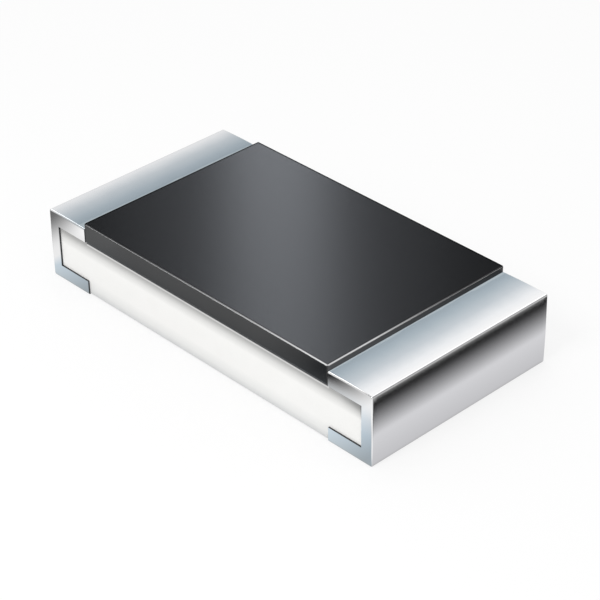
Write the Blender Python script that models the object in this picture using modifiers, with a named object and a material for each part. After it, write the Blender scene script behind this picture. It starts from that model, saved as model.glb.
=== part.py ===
"""Thick-film chip resistor, size 3216 (1206), built from the ceramic outwards.

The origin is under the middle of the chip, on the plane that it stands on. The chip's length
runs along X, its width along Y, and +Z points up through the black coat. Sizes are in
millimetres until a shape is made, which is in metres.
"""

import math

import bmesh
import bpy
from mathutils import Vector

MM = 0.001

# The chip as a whole
chip_length = 3.10
chip_width = 1.60
terminal_height = 0.53
terminal_band = 0.38  # how far a terminal reaches along the top and the underside

# Terminal walls, measured from the ceramic to the outside
top_arm = 0.111
end_wall = 0.093
bottom_arm = 0.106

# Ceramic
pad_stand_off = 0.004  # the terminals hold the ceramic this far above the board
side_reveal = 0.012  # the ceramic's long sides lie this far inside the coat and the terminals
ceramic_edge = 0.006

# Printed layers
electrode_thickness = 0.020
top_electrode_length = 0.56
bottom_electrode_length = 0.25
electrode_slope = 0.030  # a print thins out over this length at its inner end
electrode_corner = 0.008
film_thickness = 0.016
film_width = 1.10
film_overlap = 0.13  # of the film on each top electrode
film_slope = 0.020
glass_thickness = 0.014
glass_margin = 0.050  # the glass reaches past the film by this much on every side
glass_slope = 0.018

# Laser trim cut through the glass and the film
kerf_width = 0.050
kerf_place = 0.28  # from the middle of the chip
kerf_depth = 0.52  # in from the film's long side
kerf_run = 0.46  # along the chip

# Plated layers
side_electrode_thickness = 0.015
nickel_thickness = 0.020
plated_width = 1.50  # of everything that the tin covers

# Tin, the outermost layer
tin_radius = 0.015  # where the end wall turns into the arms
tin_edge = 0.007

# Black coat
overcoat_rise = 0.042  # above the terminals
overcoat_edge = 0.013

# Neighbouring layers are closed solids, this far apart
joint_gap = 0.001

# Places that follow from the sizes above
half_length = chip_length / 2
band_start = half_length - terminal_band
ceramic_end = half_length - end_wall
ceramic_top = terminal_height - top_arm
ceramic_width = chip_width - 2 * side_reveal
rebate_height = bottom_arm + joint_gap
electrode_bottom = ceramic_top + joint_gap
electrode_top = electrode_bottom + electrode_thickness
electrode_start = ceramic_end - top_electrode_length
back_print_top = rebate_height - joint_gap
back_print_bottom = back_print_top - electrode_thickness
film_end = electrode_start + electrode_slope + film_overlap
glass_end = film_end + glass_margin
glass_width = film_width + 2 * glass_margin
overcoat_top = terminal_height + overcoat_rise

ENDS = (("left", -1), ("right", 1))
ARC_STEPS = 5
OVERRUN = 0.05  # how far a cutter runs past the face that it opens
FLAT_ANGLE = math.radians(0.5)  # faces this nearly level with each other become one
MERGE_DISTANCE = 1e-8  # in metres


def clear_scene():
    for old_object in list(bpy.data.objects):
        bpy.data.objects.remove(old_object)


def new_collection(name):
    collection = bpy.data.collections.new(name)
    bpy.context.scene.collection.children.link(collection)
    return collection


def new_material(name, colour, roughness, metallic):
    material = bpy.data.materials.new(name)
    material.use_nodes = True
    shader = material.node_tree.nodes["Principled BSDF"]
    shader.inputs["Base Color"].default_value = (*colour, 1.0)
    shader.inputs["Roughness"].default_value = roughness
    shader.inputs["Metallic"].default_value = metallic
    return material


def arc(centre_x, centre_z, radius, start_degrees, end_degrees):
    """Points of an arc, from one direction of its radius to another."""
    turn = (end_degrees - start_degrees) / ARC_STEPS
    angles = [math.radians(start_degrees + turn * step) for step in range(ARC_STEPS + 1)]
    return [(centre_x + radius * math.cos(a), centre_z + radius * math.sin(a)) for a in angles]


def on_side(points, side):
    return [(side * x, z) for x, z in points]


def lifted(line, distance):
    """A line of points along a surface, moved off the surface by a distance, with mitred corners."""
    slopes = [Vector((b[0] - a[0], b[1] - a[1])).normalized() for a, b in zip(line, line[1:])]
    normals = [Vector((-slope.y, slope.x)) for slope in slopes]
    before = [normals[0]] + normals
    after = normals + [normals[-1]]
    moved = []
    for (x, z), first, second in zip(line, before, after):
        mitre = (first + second) * distance / (1 + first.dot(second))
        moved.append((x + mitre.x, z + mitre.y))
    return moved


def electrode_line(from_height):
    """Surface of the right top electrode, from a height on the line of its slope out to its end."""
    slope_per_height = electrode_slope / electrode_thickness
    toe = electrode_start - (electrode_bottom - from_height) * slope_per_height
    shoulder = electrode_start + electrode_slope
    return [(toe, from_height), (shoulder, electrode_top), (half_length, electrode_top)]


def printed_over(ground, thickness, end_x, slope):
    """Right half of a layer printed over the ground line, and the ground line for the next layer."""
    level = ground[-1][1]
    underside = lifted(ground, joint_gap)[:-1] + [(end_x, level + joint_gap)]
    upper = lifted(ground, joint_gap + thickness)[:-1] + [(end_x - slope, level + joint_gap + thickness)]
    toe = end_x + joint_gap * slope / thickness
    return underside + upper[::-1], upper + [(toe, level), (half_length, level)]


def room_under(ground, low):
    """Closed outline of the space that the print under a ground line needs, down to a height."""
    shoulder, toe = ground[-3], ground[-2]
    foot = toe[0] + (toe[1] - low) * (toe[0] - shoulder[0]) / (shoulder[1] - toe[1])
    return lifted(ground[:-2] + [(foot, low)], joint_gap) + [(ground[0][0], low)]


def outline_to_mesh(name, outline, depth, upright, collection):
    """Solid whose outline is in the XZ plane if upright, else in the XY plane, centred on its depth."""
    curve = bpy.data.curves.new(name, "CURVE")
    curve.dimensions = "2D"
    curve.fill_mode = "BOTH"
    curve.extrude = depth / 2 * MM
    spline = curve.splines.new("POLY")
    spline.points.add(len(outline) - 1)
    for point, (across, up) in zip(spline.points, outline):
        point.co = (across * MM, up * MM, 0.0, 1.0)
    spline.use_cyclic_u = True
    drawn = bpy.data.objects.new(name + "_outline", curve)
    if upright:
        drawn.rotation_euler = (math.pi / 2, 0.0, 0.0)
    collection.objects.link(drawn)
    bpy.context.view_layer.update()
    evaluated = drawn.evaluated_get(bpy.context.evaluated_depsgraph_get())
    mesh = bpy.data.meshes.new_from_object(evaluated)
    mesh.name = name
    shape = bmesh.new()
    shape.from_mesh(mesh)
    bmesh.ops.remove_doubles(shape, verts=shape.verts, dist=MERGE_DISTANCE)
    bmesh.ops.dissolve_limit(shape, angle_limit=FLAT_ANGLE, verts=shape.verts, edges=shape.edges)
    bmesh.ops.recalc_face_normals(shape, faces=shape.faces)
    shape.to_mesh(mesh)
    shape.free()
    solid = bpy.data.objects.new(name, mesh)
    solid.matrix_world = drawn.matrix_world
    collection.objects.link(solid)
    bpy.data.objects.remove(drawn)
    return solid


def block(name, low, high, collection):
    """Box between two corners."""
    low_corner = Vector(low) * MM
    high_corner = Vector(high) * MM
    shape = bmesh.new()
    bmesh.ops.create_cube(shape, size=1.0)
    bmesh.ops.scale(shape, vec=high_corner - low_corner, verts=shape.verts)
    mesh = bpy.data.meshes.new(name)
    shape.to_mesh(mesh)
    shape.free()
    solid = bpy.data.objects.new(name, mesh)
    solid.location = (low_corner + high_corner) / 2
    collection.objects.link(solid)
    return solid


def mirror_right_half(solid):
    """The solid's right half, cut at the middle plane, with its mirror image."""
    mirror = solid.modifiers.new("Left half", "MIRROR")
    mirror.use_axis = (True, False, False)
    mirror.use_bisect_axis = (True, False, False)
    mirror.bisect_threshold = MERGE_DISTANCE
    mirror.merge_threshold = MERGE_DISTANCE


def round_edges(solid, radius):
    bevel = solid.modifiers.new("Rounded edges", "BEVEL")
    bevel.width = radius * MM
    bevel.segments = 3
    bevel.limit_method = "ANGLE"
    bevel.angle_limit = math.radians(40)


def cut(solid, cutter):
    cutter.hide_render = True
    cutter.display_type = "WIRE"
    boolean = solid.modifiers.new("Cut by " + cutter.name, "BOOLEAN")
    boolean.operation = "DIFFERENCE"
    boolean.solver = "EXACT"
    boolean.object = cutter


def finish_piece(solid, material):
    solid.data.materials.clear()
    solid.data.materials.append(material)
    solid.data.shade_smooth()
    solid.data.set_sharp_from_angle(angle=math.radians(30))


def wrap_outline(envelope, start_x):
    """Outside of a layer that wraps the right end, from start_x round to start_x, open at start_x."""
    end_x, low, high, radius = envelope
    outline = [(start_x, low)]
    outline += arc(end_x - radius, low + radius, radius, -90, 0)
    outline += arc(end_x - radius, high - radius, radius, 0, 90)
    outline.append((start_x, high))
    return outline


def grown(envelope, distance):
    end_x, low, high, radius = envelope
    return end_x + distance, low - distance, high + distance, radius + distance


def wrap_layer(name, side, inside, thickness, parts):
    """C-shaped layer round an end. inside is the (end_x, low, high, radius) of what it covers."""
    inner = wrap_outline(grown(inside, joint_gap), band_start)
    outside = grown(inside, joint_gap + thickness)
    outer = wrap_outline(outside, band_start)
    outline = on_side(outer + inner[::-1], side)
    return outline_to_mesh(name, outline, plated_width, True, parts), outside


def make_ceramic(parts, cutters, materials):
    """Alumina block, rebated under both ends for the bottom arms of the terminals."""
    low = (-ceramic_end, -ceramic_width / 2, pad_stand_off)
    high = (ceramic_end, ceramic_width / 2, ceramic_top)
    ceramic = block("ceramic_substrate", low, high, parts)
    round_edges(ceramic, ceramic_edge)
    for end_name, side in ENDS:
        ends = sorted((side * (band_start - joint_gap), side * (ceramic_end + OVERRUN)))
        rebate_low = (ends[0], -chip_width / 2, pad_stand_off - OVERRUN)
        rebate_high = (ends[1], chip_width / 2, rebate_height)
        cut(ceramic, block(f"rebate_{end_name}", rebate_low, rebate_high, cutters))
    finish_piece(ceramic, materials["alumina"])


def make_electrodes(end_name, side, parts, materials):
    """Silver prints on the top and the underside of one end of the ceramic."""
    corner_x = ceramic_end - electrode_corner
    top_corner_z = electrode_top - electrode_corner
    top_line = [(electrode_start, electrode_bottom), (ceramic_end, electrode_bottom)]
    top_line += arc(corner_x, top_corner_z, electrode_corner, 0, 90)
    top_line.append((electrode_start + electrode_slope, electrode_top))
    top_name = f"top_electrode_{end_name}"
    top = outline_to_mesh(top_name, on_side(top_line, side), plated_width, True, parts)
    finish_piece(top, materials["silver"])

    back_start = ceramic_end - bottom_electrode_length
    back_corner_z = back_print_bottom + electrode_corner
    back_line = [(back_start, back_print_top), (back_start + electrode_slope, back_print_bottom)]
    back_line += arc(corner_x, back_corner_z, electrode_corner, -90, 0)
    back_line.append((ceramic_end, back_print_top))
    back_name = f"bottom_electrode_{end_name}"
    back = outline_to_mesh(back_name, on_side(back_line, side), plated_width, True, parts)
    finish_piece(back, materials["silver"])


def make_kerf_cutter(cutters):
    """L-shaped laser path, in from the film's front long side and then along the chip."""
    outside = -glass_width / 2 - OVERRUN
    turn = -film_width / 2 + kerf_depth
    near_side = kerf_place - kerf_width / 2
    far_side = kerf_place + kerf_width / 2
    run_end = kerf_place - kerf_run
    outline = [
        (far_side, outside),
        (far_side, turn),
        (run_end, turn),
        (run_end, turn - kerf_width),
        (near_side, turn - kerf_width),
        (near_side, outside),
    ]
    kerf = outline_to_mesh("trim_kerf", outline, terminal_height, False, cutters)
    kerf.location.z = ceramic_top * MM
    return kerf


def make_film_stack(parts, cutters, materials):
    """Film, glass and black coat, each printed over the one before it."""
    below = ceramic_top - OVERRUN
    ceramic_and_electrode = [(-OVERRUN, ceramic_top)] + electrode_line(ceramic_top)
    film_outline, over_film = printed_over(ceramic_and_electrode, film_thickness, film_end, film_slope)
    glass_half, over_glass = printed_over(over_film, glass_thickness, glass_end, glass_slope)
    kerf = make_kerf_cutter(cutters)

    film = outline_to_mesh("resistive_film", film_outline, film_width, True, parts)
    mirror_right_half(film)
    cut(film, kerf)
    finish_piece(film, materials["ruthenium_oxide"])

    glass_outline = lifted(ceramic_and_electrode, joint_gap)[:-1] + glass_half[len(over_film) - 1:]
    glass = outline_to_mesh("glass_coat", glass_outline, glass_width, True, parts)
    mirror_right_half(glass)
    film_room_width = film_width + 2 * joint_gap
    film_room_outline = room_under(over_film, below)
    film_room = outline_to_mesh("film_room", film_room_outline, film_room_width, True, cutters)
    mirror_right_half(film_room)
    cut(glass, film_room)
    cut(glass, kerf)
    finish_piece(glass, materials["glass"])

    coat_end = band_start - joint_gap
    coat_low = (-coat_end, -chip_width / 2, ceramic_top + joint_gap)
    coat_high = (coat_end, chip_width / 2, overcoat_top)
    overcoat = block("protective_overcoat", coat_low, coat_high, parts)
    round_edges(overcoat, overcoat_edge)
    room_width = glass_width + 2 * joint_gap
    glass_room = outline_to_mesh("glass_room", room_under(over_glass, below), room_width, True, cutters)
    mirror_right_half(glass_room)
    cut(overcoat, glass_room)
    seat = lifted(electrode_line(below), joint_gap) + [(half_length, below)]
    seat_width = plated_width + 2 * joint_gap
    for end_name, side in ENDS:
        seat_name = f"electrode_seat_{end_name}"
        cut(overcoat, outline_to_mesh(seat_name, on_side(seat, side), seat_width, True, cutters))
    finish_piece(overcoat, materials["black_coat"])


def make_terminal(end_name, side, parts, cutters, materials):
    """Side electrode, nickel and tin round one end, each over the one before it."""
    printed_end = (ceramic_end, back_print_bottom, electrode_top, electrode_corner)
    silver, plated = wrap_layer(
        f"side_electrode_{end_name}", side, printed_end, side_electrode_thickness, parts
    )
    finish_piece(silver, materials["silver"])
    nickel, plated = wrap_layer(f"nickel_barrier_{end_name}", side, plated, nickel_thickness, parts)
    finish_piece(nickel, materials["nickel"])

    outside = wrap_outline((half_length, 0.0, terminal_height, tin_radius), band_start)
    tin = outline_to_mesh(f"tin_plating_{end_name}", on_side(outside, side), chip_width, True, parts)
    round_edges(tin, tin_edge)
    start_x = band_start - OVERRUN
    ceramic_room = [
        (start_x, bottom_arm),
        (ceramic_end + joint_gap, bottom_arm),
        (ceramic_end + joint_gap, ceramic_top + joint_gap),
        (start_x, ceramic_top + joint_gap),
    ]
    rooms = [
        ("ceramic_room", ceramic_room, chip_width + 2 * OVERRUN),
        ("nickel_room", wrap_outline(grown(plated, joint_gap), start_x), plated_width + 2 * joint_gap),
    ]
    for room_name, outline, width in rooms:
        cut(tin, outline_to_mesh(f"{room_name}_{end_name}", on_side(outline, side), width, True, cutters))
    finish_piece(tin, materials["tin"])


def main():
    clear_scene()
    parts = new_collection("chip_resistor")
    cutters = new_collection("cutters")
    materials = {
        "alumina": new_material("alumina", (0.88, 0.87, 0.84), 0.55, 0.0),
        "silver": new_material("silver", (0.80, 0.78, 0.74), 0.45, 1.0),
        "ruthenium_oxide": new_material("ruthenium_oxide", (0.045, 0.047, 0.050), 0.60, 0.0),
        "glass": new_material("glass", (0.16, 0.24, 0.20), 0.20, 0.0),
        "nickel": new_material("nickel", (0.62, 0.59, 0.54), 0.35, 1.0),
        "tin": new_material("tin", (0.83, 0.84, 0.86), 0.28, 1.0),
        "black_coat": new_material("black_coat", (0.022, 0.023, 0.025), 0.25, 0.0),
    }
    make_ceramic(parts, cutters, materials)
    make_film_stack(parts, cutters, materials)
    for end_name, side in ENDS:
        make_electrodes(end_name, side, parts, materials)
        make_terminal(end_name, side, parts, cutters, materials)


main()
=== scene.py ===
"""Looks of a thick-film chip resistor: bright tin terminals, glossy black coat, white ceramic."""

import math

import bmesh
import bpy
from mathutils import Matrix, Vector


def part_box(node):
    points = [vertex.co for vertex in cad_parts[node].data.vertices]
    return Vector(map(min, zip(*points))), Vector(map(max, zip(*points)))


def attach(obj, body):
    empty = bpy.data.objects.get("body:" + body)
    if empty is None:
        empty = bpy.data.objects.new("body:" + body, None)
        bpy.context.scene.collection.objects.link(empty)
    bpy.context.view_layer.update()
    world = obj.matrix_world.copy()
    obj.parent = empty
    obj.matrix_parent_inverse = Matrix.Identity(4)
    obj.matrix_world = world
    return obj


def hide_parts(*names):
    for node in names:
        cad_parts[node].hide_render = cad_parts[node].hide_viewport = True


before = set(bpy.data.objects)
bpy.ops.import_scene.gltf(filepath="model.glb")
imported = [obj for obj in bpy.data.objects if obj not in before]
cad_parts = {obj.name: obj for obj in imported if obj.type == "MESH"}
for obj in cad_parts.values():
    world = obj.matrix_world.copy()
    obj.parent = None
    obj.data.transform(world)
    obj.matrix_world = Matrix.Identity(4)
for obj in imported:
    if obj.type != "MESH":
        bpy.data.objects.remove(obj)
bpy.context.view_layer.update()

MM = 0.001

# Camera, solved from the chip's corners in a picture of 600 by 600 pixels
focal_pixels = 2120.9
picture_pixels = 600
sensor_mm = 36.0
camera_azimuth = math.radians(46.63)
camera_elevation = math.radians(33.32)
camera_roll = math.radians(-0.812)
camera_place_mm = (8.6785, -8.1153, 7.9388)

# Tin terminals, in millimetres
tin_corner_radius = 0.014
tin_bottom_radius = 0.010
tin_side_radius = 0.010
tin_top_crown = 0.004
tin_wall_crown = 0.003
joint_gap = 0.001
profile_steps = 12
corner_steps = 8
foot_steps = 6
side_steps = 4
tolerance = 1e-4

# Black coat, in millimetres
coat_edge_radius = 0.013
shaded_line = 0.020  # painted dark line: the far upper edges are made metallic black over this width, so they mirror next to nothing
shaded_line_fade = 0.004

# Painted lines on the ceramic under the coat, in millimetres below its top face: a painted shadow in the
# joint and a painted highlight line below it
joint_line = 0.014
pale_line = 0.028
line_fade = 0.003

# Surroundings
floor_radius_mm = 80.0
lamp_distance_mm = 15.0
cool_white = (0.93, 0.98, 1.06)

# Papers and dark cards that the chip's sides mirror, in millimetres: beyond each end, and before
# the front from left to right. The tone fades from one to the other. A falloff over 1 makes a
# fade darker, and one under 1 makes it paler.
end_paper_edge = 0.215
end_card_start = 0.50
end_card_stop = 0.51
end_falloff = 1.5
left_card_stop = -2.22
left_paper_start = -1.78
right_paper_stop = 0.0
right_card_start = 0.55
right_card_stop = 0.67
right_paper_start = 1.09
right_card_falloff = 0.65
right_paper_falloff = 1.3


def mm_box(node):
    low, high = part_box(node)
    return low / MM, high / MM


def add_piece(name, shape, materials, slot, *nodes):
    """Makes an object of a finished bmesh in millimetres, which stands for some CAD nodes."""
    rough_mesh = bpy.data.meshes.new(name + "_in_mm")
    shape.to_mesh(rough_mesh)
    shape.free()
    rough_mesh.shade_smooth()
    rough_mesh.set_sharp_from_angle(angle=math.radians(35))
    for material in materials:
        rough_mesh.materials.append(material)
    piece = bpy.data.objects.new(name, rough_mesh)
    bpy.context.scene.collection.objects.link(piece)
    piece.data = with_flats_kept_flat(piece)
    piece.data.name = name
    piece.modifiers.clear()
    bpy.data.meshes.remove(rough_mesh)
    piece.data.transform(Matrix.Scale(MM, 4))
    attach(piece, "root")
    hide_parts(*nodes)
    return piece


def with_flats_kept_flat(piece):
    """The piece's mesh, with normals that follow its large faces. The mesh has to be in millimetres."""
    flats = piece.modifiers.new("flat_faces_stay_flat", "WEIGHTED_NORMAL")
    flats.keep_sharp = True
    flats.weight = 100
    graph = bpy.context.evaluated_depsgraph_get()
    return bpy.data.meshes.new_from_object(piece.evaluated_get(graph), depsgraph=graph)


def add_node(tree, kind, **inputs):
    """A shader node with its named inputs set."""
    made = tree.nodes.new(kind)
    for name, value in inputs.items():
        made.inputs[name.replace("_", " ")].default_value = value
    return made


def new_material(name):
    material = bpy.data.materials.new(name)
    material.use_nodes = True
    tree = material.node_tree
    return material, tree, tree.nodes["Principled BSDF"]


def place_in_mm(tree):
    """The point on the piece, in millimetres."""
    coordinates = tree.nodes.new("ShaderNodeTexCoord")
    scaled = tree.nodes.new("ShaderNodeVectorMath")
    scaled.operation = "SCALE"
    scaled.inputs["Scale"].default_value = 1 / MM
    tree.links.new(coordinates.outputs["Object"], scaled.inputs[0])
    return scaled.outputs[0]


def split_place(tree, place):
    separate = tree.nodes.new("ShaderNodeSeparateXYZ")
    tree.links.new(place, separate.inputs[0])
    return separate.outputs["X"], separate.outputs["Y"], separate.outputs["Z"]


def noise(tree, place, scale, detail):
    made = add_node(tree, "ShaderNodeTexNoise", Scale=scale, Detail=detail)
    tree.links.new(place, made.inputs["Vector"])
    return made.outputs["Fac"]


def map_range(tree, value, from_low, from_high, to_low=0.0, to_high=1.0, blend="LINEAR"):
    """A value from one range to another, held at the ends."""
    made = tree.nodes.new("ShaderNodeMapRange")
    made.interpolation_type = blend
    made.clamp = True
    made.inputs["From Min"].default_value = from_low
    made.inputs["From Max"].default_value = from_high
    made.inputs["To Min"].default_value = to_low
    made.inputs["To Max"].default_value = to_high
    tree.links.new(value, made.inputs["Value"])
    return made.outputs["Result"]


def arithmetic(tree, operation, first, second):
    """One Math node. Each of first and second is a socket or a number."""
    made = tree.nodes.new("ShaderNodeMath")
    made.operation = operation
    for socket, value in zip(made.inputs, (first, second)):
        if isinstance(value, (int, float)):
            socket.default_value = value
        else:
            tree.links.new(value, socket)
    return made.outputs[0]


def as_rgba(colour):
    """A colour, or a plain number for a grey, as four numbers."""
    if isinstance(colour, tuple):
        return (*colour, 1.0)
    return (colour, colour, colour, 1.0)


def product(tree, *factors):
    """The factors multiplied together. The first is a socket, the others sockets or numbers."""
    result = factors[0]
    for factor in factors[1:]:
        result = arithmetic(tree, "MULTIPLY", result, factor)
    return result


def distance_from_middle(tree, value):
    """How far a place along one axis is from the chip's middle."""
    return arithmetic(tree, "ABSOLUTE", value, 0.0)


def mix_colours(tree, share, first, second, blend="MIX"):
    """One Mix Color node. Each of share, first and second is a socket or a plain value, or a grey."""
    made = tree.nodes.new("ShaderNodeMix")
    made.data_type = "RGBA"
    made.blend_type = blend
    values = {"Factor": share, "A": first, "B": second}
    for socket in made.inputs:
        if socket.name not in values or not socket.enabled:
            continue
        value = values[socket.name]
        if isinstance(value, bpy.types.NodeSocket):
            tree.links.new(value, socket)
        elif socket.type == "RGBA":
            socket.default_value = as_rgba(value)
        else:
            socket.default_value = value
    return [socket for socket in made.outputs if socket.enabled][0]


def darkened(tree, colour, shade):
    """A colour multiplied by another."""
    return mix_colours(tree, 1.0, colour, shade, "MULTIPLY")


def colour_ramp(tree, value, stops):
    """Colours at places from 0 to 1 along a value."""
    made = tree.nodes.new("ShaderNodeValToRGB")
    ramp = made.color_ramp
    ramp.elements[0].position = stops[0][0]
    ramp.elements[1].position = stops[-1][0]
    for position, _ in stops[1:-1]:
        ramp.elements.new(position)
    for element, (_, colour) in zip(ramp.elements, stops):
        element.color = as_rgba(colour)
    tree.links.new(value, made.inputs[0])
    return made.outputs[0]


def add_bump(tree, shader, height, distance_mm, strength):
    bump = add_node(tree, "ShaderNodeBump", Strength=strength, Distance=distance_mm * MM)
    tree.links.new(height, bump.inputs["Height"])
    tree.links.new(bump.outputs["Normal"], shader.inputs["Normal"])


def beyond_flat(tree, distance, outside):
    """1 from where a terminal's edge begins to round out to its outside, else 0."""
    start = outside - tin_side_radius
    return map_range(tree, distance, start, start + 0.002)


def make_tin():
    """Bright plated tin, duller by the coat, with a painted reflection on its top: greyer and bluer by
    the coat, white towards the outer end, a little darker on the left terminal. Its rounded edges have a
    painted highlight.
    """
    material, tree, shader = new_material("plated_tin")
    place = place_in_mm(tree)
    x, y, z = split_place(tree, place)
    low, high = mm_box("tin_plating_right")
    out_x = distance_from_middle(tree, x)
    out_y = distance_from_middle(tree, y)
    on_right = map_range(tree, x, 0.0, 0.1)
    on_top = map_range(tree, z, high.z - 0.016, high.z - 0.009)
    past_end = beyond_flat(tree, out_x, high.x)
    past_side = beyond_flat(tree, out_y, high.y)

    along = map_range(tree, out_x, low.x, high.x - 0.03)
    hidden_by_coat = map_range(tree, on_right, 0.0, 1.0, 0.13, 0.0)
    seen = arithmetic(tree, "SUBTRACT", along, hidden_by_coat)
    cloud = map_range(tree, noise(tree, place, 7.0, 2.0), 0.3, 0.7, -0.02, 0.02)
    # Painted reflection: the top is grey-blue by the coat and white towards the outer end.
    painted_reflection_top = colour_ramp(
        tree, arithmetic(tree, "ADD", seen, cloud),
        ((0.0, (0.46, 0.53, 0.57)), (0.03, (0.46, 0.53, 0.57)), (0.06, (0.35, 0.42, 0.47)),
         (0.25, (0.43, 0.50, 0.55)), (0.55, (0.61, 0.66, 0.70)), (0.85, (0.92, 0.935, 0.95)), (1.0, 1.0))
    )
    # Painted shade: the left terminal's top is painted a tenth darker.
    painted_reflection_top = darkened(tree, painted_reflection_top, mix_colours(tree, on_right, 0.90, 1.0))

    # Painted highlight: the rounded edges are painted full white, and the side edges are kept out of the
    # painted reflection.
    edge = product(tree, arithmetic(tree, "MAXIMUM", past_end, on_top), past_side)
    bright = mix_colours(tree, edge, (0.93, 0.93, 0.935), 1.0)
    highlight_side_edge = product(tree, past_side, map_range(tree, on_right, 0.0, 1.0, 0.4, 1.0))
    painted_reflection_share = product(tree, on_top, arithmetic(tree, "SUBTRACT", 1.0, highlight_side_edge))
    tree.links.new(mix_colours(tree, painted_reflection_share, bright, painted_reflection_top), shader.inputs["Base Color"])

    grain = noise(tree, place, 160.0, 4.0)
    satin = product(tree, on_top, map_range(tree, along, 0.0, 0.4, 0.20, 0.0))
    roughness = arithmetic(tree, "ADD", satin, map_range(tree, grain, 0.3, 0.7, 0.07, 0.10))
    tree.links.new(roughness, shader.inputs["Roughness"])
    shader.inputs["Metallic"].default_value = 1.0
    add_bump(tree, shader, grain, 0.0004, 0.2)
    return material


def make_seam():
    """Dull dark faces of the plating, inside the C, where it stops at the ceramic: painted shade of the
    narrow joint there.
    """
    material, tree, shader = new_material("plating_edge_painted_shade")
    place = place_in_mm(tree)
    grain = noise(tree, place, 120.0, 3.0)
    tone = mix_colours(tree, grain, (0.022, 0.023, 0.025), (0.045, 0.047, 0.05))
    tree.links.new(tone, shader.inputs["Base Color"])
    tree.links.new(map_range(tree, grain, 0.3, 0.7, 0.6, 0.75), shader.inputs["Roughness"])
    return material


def make_black_coat():
    """Glossy black resin with a faint orange peel. Its upper edges are rougher, with a painted highlight
    as a paler line, brightest towards the front right; its end faces have paler grey painted in as
    reflection, and its far upper edges a painted dark line.
    """
    material, tree, shader = new_material("black_coat")
    place = place_in_mm(tree)
    low, high = mm_box("protective_overcoat")
    x, y, z = split_place(tree, place)
    peel = noise(tree, place, 14.0, 3.0)
    black = mix_colours(tree, peel, (0.003, 0.0034, 0.004), (0.005, 0.0054, 0.006))

    radius = coat_edge_radius
    past_end = arithmetic(tree, "SUBTRACT", distance_from_middle(tree, x), high.x - radius)
    past_side = arithmetic(tree, "SUBTRACT", distance_from_middle(tree, y), high.y - radius)
    past_flat = arithmetic(tree, "MAXIMUM", past_end, past_side)
    outer = map_range(tree, past_flat, radius * 0.25, radius * 0.55)
    upper = map_range(tree, z, high.z - radius * 0.7, high.z - radius * 0.4)
    on_edge = product(tree, outer, upper)

    # Painted reflection: the end faces are painted paler grey, most at the front.
    on_end = map_range(tree, past_end, radius * 0.7, radius * 0.9)
    painted_end_light_share = map_range(tree, y, low.y, high.y, 0.9, 0.1)
    black = mix_colours(tree, product(tree, on_end, painted_end_light_share), black, (0.065, 0.065, 0.067))
    # Painted highlight: a paler line along the upper rounded edges, brightest towards the front right
    # corner.
    near_corner = product(tree, map_range(tree, x, -1.0, 1.1), map_range(tree, y, -0.4, 0.5, 1.0, 0.0))
    near_corner = arithmetic(tree, "POWER", near_corner, 2.0)
    painted_highlight_tone = mix_colours(tree, near_corner, (0.02, 0.02, 0.022), (0.42, 0.42, 0.425))
    tree.links.new(mix_colours(tree, on_edge, black, painted_highlight_tone), shader.inputs["Base Color"])

    speckle = noise(tree, place, 120.0, 3.0)
    fine = map_range(tree, speckle, 0.3, 0.7, 0.19, 0.23)
    rougher_edge = product(tree, on_edge, 0.20)
    tree.links.new(arithmetic(tree, "ADD", fine, rougher_edge), shader.inputs["Roughness"])
    # Painted dark line: the far upper edges are metallic black, so they mirror next to nothing.
    back_line = high.y - shaded_line
    left_line = low.x + shaded_line
    by_back = map_range(tree, y, back_line - shaded_line_fade, back_line)
    by_left = map_range(tree, x, left_line, left_line + shaded_line_fade, 1.0, 0.0)
    by_far_edge = product(tree, arithmetic(tree, "MAXIMUM", by_back, by_left), upper)
    tree.links.new(by_far_edge, shader.inputs["Metallic"])
    add_bump(tree, shader, peel, 0.0004, 0.4)
    return material


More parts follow.
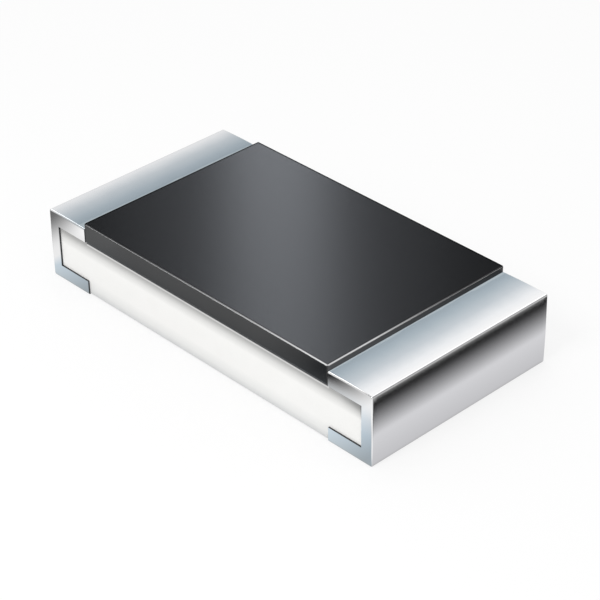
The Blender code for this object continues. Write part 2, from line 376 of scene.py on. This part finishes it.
def make_alumina():
    """White fired alumina with a fine grain, with painted shade under the coat, towards its bottom edge
    and beside the right terminal, and under the coat a painted highlight line below a painted shadow
    line in the joint.
    """
    material, tree, shader = new_material("white_alumina")
    place = place_in_mm(tree)
    low, high = mm_box("ceramic_substrate")
    _, coat_high = mm_box("protective_overcoat")
    x, _, z = split_place(tree, place)
    tone = mix_colours(tree, noise(tree, place, 6.0, 3.0), (0.88, 0.875, 0.855), (0.91, 0.905, 0.89))

    # Painted shade in the upper corner beside the right terminal.
    by_corner = product(tree, map_range(tree, x, high.x - 0.20, high.x), map_range(tree, z, 0.30, 0.40))
    tone = mix_colours(tree, by_corner, tone, (0.50, 0.50, 0.49))
    # Painted shadow: a dark line along the right terminal's inner wall, in the upper part.
    by_wall = map_range(tree, x, high.x - 0.022, high.x - 0.012)
    tone = mix_colours(tree, product(tree, by_wall, map_range(tree, z, 0.30, 0.38)), tone, 0.22)
    # Painted shade by height: darker towards the bottom edge and under the coat.
    shade = colour_ramp(
        tree, map_range(tree, z, low.z, high.z),
        ((0.0, (0.70, 0.71, 0.73)), (0.12, (0.90, 0.905, 0.91)), (0.30, 1.0),
         (0.70, 1.0), (0.82, 0.80), (0.91, 0.52), (0.93, 0.46), (1.0, 0.46))
    )
    tone = darkened(tree, tone, shade)

    out_x = distance_from_middle(tree, x)
    under_coat = map_range(tree, out_x, coat_high.x - 0.004, coat_high.x, 1.0, 0.0)
    pale_from = high.z - pale_line
    dark_from = high.z - joint_line
    # Painted highlight line under the coat, and a painted shadow line in the joint above it.
    on_upper_edge = product(tree, under_coat, map_range(tree, z, pale_from, pale_from + line_fade))
    in_joint = product(tree, under_coat, map_range(tree, z, dark_from, dark_from + line_fade))
    tone = mix_colours(tree, on_upper_edge, tone, (0.60, 0.60, 0.59))
    tone = mix_colours(tree, in_joint, tone, (0.04, 0.04, 0.042))
    tree.links.new(tone, shader.inputs["Base Color"])
    grain = noise(tree, place, 90.0, 6.0)
    tree.links.new(map_range(tree, grain, 0.3, 0.7, 0.50, 0.62), shader.inputs["Roughness"])
    add_bump(tree, shader, grain, 0.0012, 0.5)
    return material


def make_hidden_layer(name, dark, light, roughness, metallic, grain_scale):
    """A printed or plated layer that the tin and the coat cover."""
    material, tree, shader = new_material(name)
    place = place_in_mm(tree)
    grain = noise(tree, place, grain_scale, 4.0)
    tree.links.new(mix_colours(tree, grain, dark, light), shader.inputs["Base Color"])
    spread = 0.08
    rough = map_range(tree, grain, 0.3, 0.7, roughness - spread, roughness + spread)
    tree.links.new(rough, shader.inputs["Roughness"])
    shader.inputs["Metallic"].default_value = metallic
    add_bump(tree, shader, grain, 0.001, 0.5)
    return material


def crowned_run(start, end, crown, steps):
    """Points from start to end in the XZ plane, bowed to the left of the way by a crown."""
    start, end = Vector(start), Vector(end)
    along = end - start
    outward = Vector((-along.y, along.x)).normalized()
    points = []
    for step in range(steps + 1):
        share = step / steps
        points.append(start + along * share + outward * crown * 4 * share * (1 - share))
    return points


def arc(centre, radius, start_degrees, end_degrees, steps):
    points = []
    for step in range(steps + 1):
        turn = math.radians(start_degrees + (end_degrees - start_degrees) * step / steps)
        points.append(Vector(centre) + radius * Vector((math.cos(turn), math.sin(turn))))
    return points


def tin_profile(low, high, seat_x, seat_low, seat_high):
    """Section of the right terminal, clockwise from the coat along the top, and round to the seat."""
    top_z = high.z - tin_top_crown
    wall_x = high.x - tin_wall_crown
    foot = (wall_x - tin_bottom_radius, low.z + tin_bottom_radius)
    corner = (wall_x - tin_corner_radius, top_z - tin_corner_radius)
    outline = crowned_run((low.x, top_z), (corner[0], top_z), tin_top_crown, profile_steps)
    outline += arc(corner, tin_corner_radius, 90, 0, corner_steps)[1:]
    outline += crowned_run((wall_x, corner[1]), (wall_x, foot[1]), tin_wall_crown, profile_steps)[1:]
    outline += arc(foot, tin_bottom_radius, 0, -90, foot_steps)[1:]
    outline += [Vector(point) for point in ((low.x, low.z), (low.x, seat_low), (seat_x, seat_low))]
    outline += [Vector(point) for point in ((seat_x, seat_high), (low.x, seat_high))]
    return outline


def near(value, target):
    return abs(value - target) < tolerance


def make_terminal(name, side, tin, seam):
    """Crowned tin wrap with a lip over the ceramic and a room inside for the nickel."""
    low, high = mm_box("tin_plating_right")
    nickel_low, nickel_high = mm_box("nickel_barrier_right")
    _, ceramic_high = mm_box("ceramic_substrate")
    seat_x = ceramic_high.x + joint_gap
    seat_low = rebate_height() - joint_gap
    seat_high = ceramic_high.z + joint_gap
    room_x = nickel_high.x + joint_gap
    room_low = nickel_low.z - joint_gap
    room_high = nickel_high.z + joint_gap
    room_y = nickel_high.y + joint_gap

    shape = bmesh.new()
    outline = tin_profile(low, high, seat_x, seat_low, seat_high)
    section = shape.faces.new([shape.verts.new((point.x, low.y, point.y)) for point in outline])
    grown = bmesh.ops.extrude_face_region(shape, geom=[section])
    new_verts = [item for item in grown["geom"] if isinstance(item, bmesh.types.BMVert)]
    bmesh.ops.translate(shape, vec=(0.0, high.y - low.y, 0.0), verts=new_verts)
    bmesh.ops.recalc_face_normals(shape, faces=shape.faces)

    for side_y in (-room_y, room_y):
        everything = shape.verts[:] + shape.edges[:] + shape.faces[:]
        plane = {"plane_co": (0.0, side_y, 0.0), "plane_no": (0.0, 1.0, 0.0)}
        bmesh.ops.bisect_plane(shape, geom=everything, **plane)

    def in_seat(face):
        middle = face.calc_center_median()
        on_wall = near(middle.x, seat_x)
        on_arm = near(middle.z, seat_low) or near(middle.z, seat_high)
        return (on_wall or on_arm) and middle.x < seat_x + joint_gap

    def on_cut_end(face):
        return near(face.calc_center_median().x, low.x)

    seat_faces = [face for face in shape.faces if in_seat(face)]
    # The seat faces and the cut end take the second material, painted dark as shade in the joint.
    for face in seat_faces + [face for face in shape.faces if on_cut_end(face)]:
        face.material_index = 1
    room_faces = [face for face in seat_faces if abs(face.calc_center_median().y) < room_y]
    grown = bmesh.ops.extrude_face_region(shape, geom=room_faces)
    for vert in [item for item in grown["geom"] if isinstance(item, bmesh.types.BMVert)]:
        if near(vert.co.x, seat_x):
            vert.co.x = room_x
        if near(vert.co.z, seat_low):
            vert.co.z = room_low
        if near(vert.co.z, seat_high):
            vert.co.z = room_high
    bmesh.ops.delete(shape, geom=room_faces, context="FACES")

    def on_outside(edge):
        ends = [vert.co for vert in edge.verts]
        on_side = all(near(abs(end.y), high.y) for end in ends)
        by_seat = all(end.x < seat_x + joint_gap for end in ends)
        between_arms = all(seat_low - joint_gap < end.z < seat_high + joint_gap for end in ends)
        at_coat = all(near(end.x, low.x) for end in ends)
        return on_side and not (by_seat and between_arms) and not at_coat

    side_edges = [edge for edge in shape.edges if on_outside(edge)]
    bmesh.ops.bevel(
        shape, geom=side_edges, offset=tin_side_radius, segments=side_steps, profile=0.5,
        affect="EDGES", material=-1
    )
    if side < 0:
        bmesh.ops.scale(shape, vec=(-1.0, 1.0, 1.0), verts=shape.verts)
        bmesh.ops.reverse_faces(shape, faces=shape.faces)
    return add_piece(name + "_wrap", shape, (tin, seam), "tin", name)


def rebate_height():
    """Height of the ceramic's rebates, on which the terminals' lower arms bear."""
    band_start = mm_box("tin_plating_right")[0].x
    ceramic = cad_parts["ceramic_substrate"].data
    over_arm = [vert.co.z / MM for vert in ceramic.vertices if vert.co.x / MM > band_start + 0.1]
    return min(over_arm)


def smoothed_copy(node, name, material, slot):
    """A CAD solid with its triangles merged into whole faces and its rounded edges shaded smooth."""
    shape = bmesh.new()
    shape.from_mesh(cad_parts[node].data)
    bmesh.ops.scale(shape, vec=(1 / MM, 1 / MM, 1 / MM), verts=shape.verts)
    bmesh.ops.remove_doubles(shape, verts=shape.verts, dist=1e-5)
    bmesh.ops.dissolve_limit(shape, angle_limit=math.radians(0.5), verts=shape.verts, edges=shape.edges)
    bmesh.ops.recalc_face_normals(shape, faces=shape.faces)
    return add_piece(name, shape, (material,), slot, node)


def set_camera():
    right = Vector((math.cos(camera_azimuth), math.sin(camera_azimuth), 0.0))
    level_back = Vector((math.sin(camera_azimuth), -math.cos(camera_azimuth), 0.0))
    back = math.cos(camera_elevation) * level_back + math.sin(camera_elevation) * Vector((0.0, 0.0, 1.0))
    up = back.cross(right)
    rolled_right = math.cos(camera_roll) * right + math.sin(camera_roll) * up
    rolled_up = -math.sin(camera_roll) * right + math.cos(camera_roll) * up
    data = bpy.data.cameras.new("camera")
    data.sensor_width = sensor_mm
    data.lens = focal_pixels * sensor_mm / picture_pixels
    data.clip_start = 0.1 * MM
    data.clip_end = 1000 * MM
    camera = bpy.data.objects.new("camera", data)
    turn = Matrix((rolled_right, rolled_up, back)).transposed().to_4x4()
    camera.matrix_world = Matrix.Translation(Vector(camera_place_mm) * MM) @ turn
    bpy.context.scene.collection.objects.link(camera)
    bpy.context.scene.camera = camera


def add_softbox(name, direction, width_mm, height_mm, radiance, only_on=(), colour=(1.0, 1.0, 1.0)):
    """Area lamp that faces the chip and hides from the camera. only_on holds the pieces it lights."""
    data = bpy.data.lights.new(name, "AREA")
    data.shape = "RECTANGLE"
    data.size = width_mm * MM
    data.size_y = height_mm * MM
    data.energy = radiance * math.pi * data.size * data.size_y
    data.color = colour
    lamp = bpy.data.objects.new(name, data)
    lamp.location = Vector(direction).normalized() * lamp_distance_mm * MM
    lamp.rotation_mode = "QUATERNION"
    lamp.rotation_quaternion = lamp.location.to_track_quat("Z", "Y")
    lamp.visible_camera = False
    bpy.context.scene.collection.objects.link(lamp)
    if only_on:
        receivers = bpy.data.collections.new(name + "_lights")
        for piece in only_on:
            receivers.objects.link(piece)
        lamp.light_linking.receiver_collection = receivers


def set_world():
    """White to the camera, and a soft studio with a dark horizon to whatever mirrors it."""
    world = bpy.data.worlds.new("studio")
    bpy.context.scene.world = world
    world.use_nodes = True
    world.cycles.sampling_method = "NONE"
    tree = world.node_tree
    direction = tree.nodes.new("ShaderNodeTexCoord")
    _, _, height = split_place(tree, direction.outputs["Generated"])
    mirrored = colour_ramp(
        tree, height,
        ((0.00, 0.02), (0.15, 0.03), (0.45, (0.07, 0.07, 0.075)),
         (0.62, (0.10, 0.10, 0.105)), (0.80, 0.28), (1.00, 0.34))
    )
    path = tree.nodes.new("ShaderNodeLightPath")
    around = mix_colours(tree, path.outputs["Is Glossy Ray"], 0.80, mirrored)
    seen = mix_colours(tree, path.outputs["Is Camera Ray"], around, 1.0)
    tree.links.new(seen, tree.nodes["Background"].inputs["Color"])


def add_floor():
    """Pale floor that keeps a soft shadow, with the tones that the chip's sides mirror."""
    shape = bmesh.new()
    bmesh.ops.create_circle(shape, cap_ends=True, segments=96, radius=floor_radius_mm * MM)
    mesh = bpy.data.meshes.new("floor")
    shape.to_mesh(mesh)
    shape.free()
    floor = bpy.data.objects.new("floor", mesh)
    bpy.context.scene.collection.objects.link(floor)
    material = bpy.data.materials.new("pale_floor")
    material.use_nodes = True
    material.cycles.emission_sampling = "NONE"
    tree = material.node_tree
    tree.nodes.clear()
    output = tree.nodes.new("ShaderNodeOutputMaterial")
    paper = add_node(tree, "ShaderNodeBsdfDiffuse", Color=(0.92, 0.92, 0.92, 1.0))
    glow = add_node(tree, "ShaderNodeEmission", Color=(1.0, 1.0, 1.0, 1.0), Strength=1.0)
    path = tree.nodes.new("ShaderNodeLightPath")
    to_camera = tree.nodes.new("ShaderNodeMixShader")
    glow_share = arithmetic(tree, "MULTIPLY", path.outputs["Is Camera Ray"], 0.70)
    tree.links.new(glow_share, to_camera.inputs[0])
    tree.links.new(paper.outputs[0], to_camera.inputs[1])
    tree.links.new(glow.outputs[0], to_camera.inputs[2])

    mirrored = tree.nodes.new("ShaderNodeEmission")
    tree.links.new(mirrored_floor(tree), mirrored.inputs["Color"])
    to_glossy = tree.nodes.new("ShaderNodeMixShader")
    tree.links.new(path.outputs["Is Glossy Ray"], to_glossy.inputs[0])
    tree.links.new(to_camera.outputs[0], to_glossy.inputs[1])
    tree.links.new(mirrored.outputs[0], to_glossy.inputs[2])
    tree.links.new(to_glossy.outputs[0], output.inputs[0])
    mesh.materials.append(material)


def mirrored_floor(tree):
    """Tones round the chip, as of dark cards and grey paper, that its shiny sides mirror, with painted
    shade under the chip and close before its front.
    """
    x, y, _ = split_place(tree, place_in_mm(tree))
    _, chip_high = mm_box("tin_plating_right")
    beyond_end = arithmetic(tree, "SUBTRACT", distance_from_middle(tree, x), chip_high.x)
    before_side = arithmetic(tree, "SUBTRACT", arithmetic(tree, "MULTIPLY", y, -1.0), chip_high.y)

    by_end = tones_by_end(tree, beyond_end)
    close_by = tones_close_before_side(tree, x, before_side)
    further = tones_further_before_side(tree, x, before_side)
    far_before = map_range(tree, before_side, 0.34, 0.48)
    before_left = map_range(tree, x, -1.72, -1.62, 1.0, 0.0)
    before = mix_colours(tree, arithmetic(tree, "MAXIMUM", far_before, before_left), close_by, further)
    before_corner = map_range(tree, x, chip_high.x, chip_high.x + 0.08)
    from_corner = arithmetic(tree, "MAXIMUM", before_side, beyond_end)
    before = mix_colours(tree, before_corner, before, map_range(tree, from_corner, 0.5, 1.2, 0.88, 0.6))

    is_back = map_range(tree, y, chip_high.y - 0.02, chip_high.y + 0.02)
    is_end = map_range(tree, beyond_end, -0.02, 0.02)
    is_front = map_range(tree, before_side, -0.02, 0.02)
    # Painted shade: under the chip the mirrored floor is darker than behind it.
    beside = mix_colours(tree, is_end, mix_colours(tree, is_back, 0.40, 0.85), by_end)
    return mix_colours(tree, is_front, beside, before)


def tones_by_end(tree, beyond_end):
    """Grey paper beside the end wall that darkens to a narrow black card, and grey paper past it."""
    by_wall = map_range(tree, beyond_end, 0.0, 0.2, 0.83, 1.0)
    before_card = map_range(tree, beyond_end, end_paper_edge, end_card_start, 1.0, 0.0)
    before_card = arithmetic(tree, "POWER", before_card, end_falloff)
    paper = darkened(tree, (0.68, 0.68, 0.70), product(tree, by_wall, before_card))
    past_card = map_range(tree, beyond_end, end_card_stop, end_card_stop + 0.05, 0.0, 0.42)
    far_out = map_range(tree, beyond_end, 0.55, 3.0, 0.0, 0.20)
    return mix_colours(tree, 1.0, paper, arithmetic(tree, "ADD", past_card, far_out), "ADD")


def tones_close_before_side(tree, x, before_side):
    """Blue-grey paper close before the front, with the chip's painted shadow: darkest before the left
    half and the right end.
    """
    paper = colour_ramp(
        tree, map_range(tree, before_side, 0.0, 0.5),
        ((0.0, (0.62, 0.70, 0.75)), (0.40, (0.64, 0.75, 0.84)), (1.0, 0.93))
    )
    by_left_end = map_range(tree, x, -1.6, -1.2, 0.92, 0.55)
    past_middle = map_range(tree, x, -0.1, 0.64, 0.55, 1.0)
    by_right_end = map_range(tree, x, 1.10, 1.46, 1.0, 0.58)
    shade = product(tree, arithmetic(tree, "MAXIMUM", by_left_end, past_middle), by_right_end)
    return darkened(tree, paper, shade)


def tones_further_before_side(tree, x, before_side):
    """White paper with a dark card before each end of the front, and grey paper behind them."""
    paper = map_range(tree, x, left_paper_start, right_paper_stop, 0.88, 0.93)
    past_left = map_range(tree, x, left_card_stop, left_paper_start, 0.136, 1.0, "SMOOTHSTEP")
    before_card = map_range(tree, x, right_paper_stop, right_card_start, 1.0, 0.0)
    before_card = arithmetic(tree, "POWER", before_card, right_card_falloff)
    past_card = map_range(tree, x, right_card_stop, right_paper_start)
    past_card = arithmetic(tree, "POWER", past_card, right_paper_falloff)
    cards = product(tree, arithmetic(tree, "MAXIMUM", before_card, past_card), paper, past_left)
    by_top_arm = map_range(tree, before_side, 0.42, 0.52, 1.0, 1.25)
    by_left_end = map_range(tree, x, -1.62, -1.52, 2.0, 1.0)
    cards = product(tree, cards, arithmetic(tree, "MINIMUM", by_left_end, by_top_arm))
    return mix_colours(tree, map_range(tree, before_side, 0.62, 1.2), cards, 0.72)


def dress_cad_nodes():
    silver = make_hidden_layer("fired_silver", (0.70, 0.68, 0.64), (0.82, 0.80, 0.76), 0.45, 1.0, 60.0)
    nickel = make_hidden_layer("plated_nickel", (0.58, 0.55, 0.50), (0.66, 0.63, 0.58), 0.35, 1.0, 90.0)
    film = make_hidden_layer(
        "ruthenium_oxide", (0.035, 0.037, 0.040), (0.055, 0.057, 0.060), 0.60, 0.0, 70.0
    )
    glass = make_hidden_layer("glass_print", (0.13, 0.20, 0.17), (0.18, 0.27, 0.22), 0.22, 0.0, 25.0)
    looks = {
        "top_electrode": silver,
        "bottom_electrode": silver,
        "side_electrode": silver,
        "nickel_barrier": nickel,
        "resistive_film": film,
        "glass_coat": glass,
    }
    for name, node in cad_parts.items():
        for start, material in looks.items():
            if name.startswith(start):
                node.data.materials.clear()
                node.data.materials.append(material)


def add_lamps(terminals, coat):
    add_softbox("overhead_softbox", (0.0, 0.1, 1.0), 12.0, 12.0, 0.6)
    add_softbox("front_lamp", (0.1, -0.8, 0.9), 5.0, 5.0, 7.2)
    add_softbox("terminal_fill", (-0.61, 0.57, 0.45), 14.0, 15.0, 0.82, terminals)
    add_softbox("ridge_fill", (0.1, 0.57, 0.80), 10.0, 10.0, 0.9, terminals)
    add_softbox("shoulder_fill", (0.8, 0.57, 0.30), 12.0, 10.0, 0.3, terminals)
    add_softbox("edge_fill", (-0.61, -0.1, 0.75), 7.0, 7.0, 2.0, terminals)
    add_softbox("near_fill", (0.61, -0.57, 0.45), 14.0, 12.0, 0.75, terminals)
    fills = {
        "front_fill": (0.0, -1.0, 0.35),
        "back_fill": (0.0, 1.0, 0.35),
        "right_fill": (1.0, 0.0, 0.35),
        "left_fill": (-1.0, 0.0, 0.35),
    }
    for name, direction in fills.items():
        add_softbox(name, direction, 12.0, 9.0, 0.6, terminals)
    add_softbox("front_edge_fill", (-0.61, -0.75, 0.28), 12.0, 8.0, 0.8, terminals)
    add_softbox("coat_front_edge_lamp", (-0.50, -0.86, 0.14), 9.0, 4.0, 17.0, [coat])
    add_softbox("coat_end_edge_lamp", (0.90, 0.40, 0.14), 9.0, 4.0, 12.0, [coat])
    sheen_direction = (-0.613, 0.560, 0.55)
    add_softbox("sheen_strip", sheen_direction, 1.3, 10.0, 2.4, [coat], cool_white)
    add_softbox("sheen_halo", sheen_direction, 4.5, 10.0, 0.26, [coat], cool_white)


def main():
    bpy.context.scene.view_settings.view_transform = "Standard"
    set_camera()
    set_world()
    add_floor()
    dress_cad_nodes()
    tin = make_tin()
    seam = make_seam()
    terminals = [
        make_terminal("tin_plating_left", -1, tin, seam),
        make_terminal("tin_plating_right", 1, tin, seam),
    ]
    coat = smoothed_copy("protective_overcoat", "overcoat_skin", make_black_coat(), "black_coat")
    coat.visible_glossy = False
    smoothed_copy("ceramic_substrate", "ceramic_body", make_alumina(), "alumina")
    add_lamps(terminals, coat)


main()
